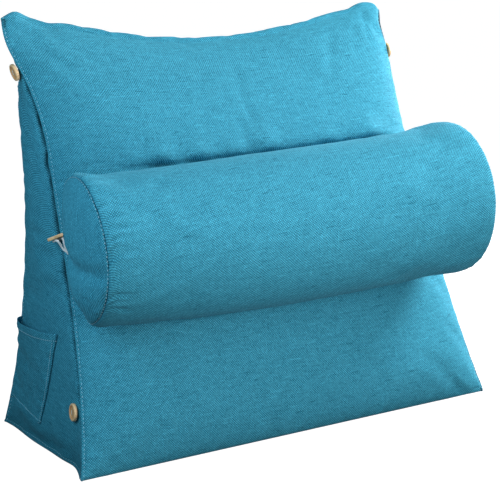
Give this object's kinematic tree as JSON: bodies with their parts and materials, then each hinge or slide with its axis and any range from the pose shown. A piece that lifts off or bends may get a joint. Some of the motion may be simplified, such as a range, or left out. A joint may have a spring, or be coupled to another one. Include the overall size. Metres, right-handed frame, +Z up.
{
  "type": "wedge pillow",
  "caption": "Wedge back-rest pillow with a round bolster held across its slanted front by elastic loops on wooden side buttons, and a patch pocket on its left side.",
  "frame": {"origin": "middle of the base where the pillow rests", "axes": "+X across the pillow to the right of someone facing it, +Y from the slanted front to the upright back, +Z up"},
  "size_m": [0.6, 0.3656, 0.5086],
  "materials": {
    "wedge_cloth": "teal blue slubbed linen-look cloth, matt",
    "bolster_cloth": "teal blue slubbed linen-look cloth, matt",
    "pocket_cloth": "teal blue slubbed linen-look cloth, matt, with a turned hem",
    "button_wood": "pale turned wood, satin lacquer",
    "elastic": "white braided elastic cord"
  },
  "bodies": {
    "root": {"wedge_cushion": "wedge_cloth", "bolster": "bolster_cloth", "side_pocket": "pocket_cloth", "button_left_low": "button_wood", "button_left_mid": "button_wood", "button_left_top": "button_wood", "button_right_low": "button_wood", "button_right_mid": "button_wood", "button_right_top": "button_wood", "loop_left": "elastic", "loop_right": "elastic"}
  },
  "joints": []
}
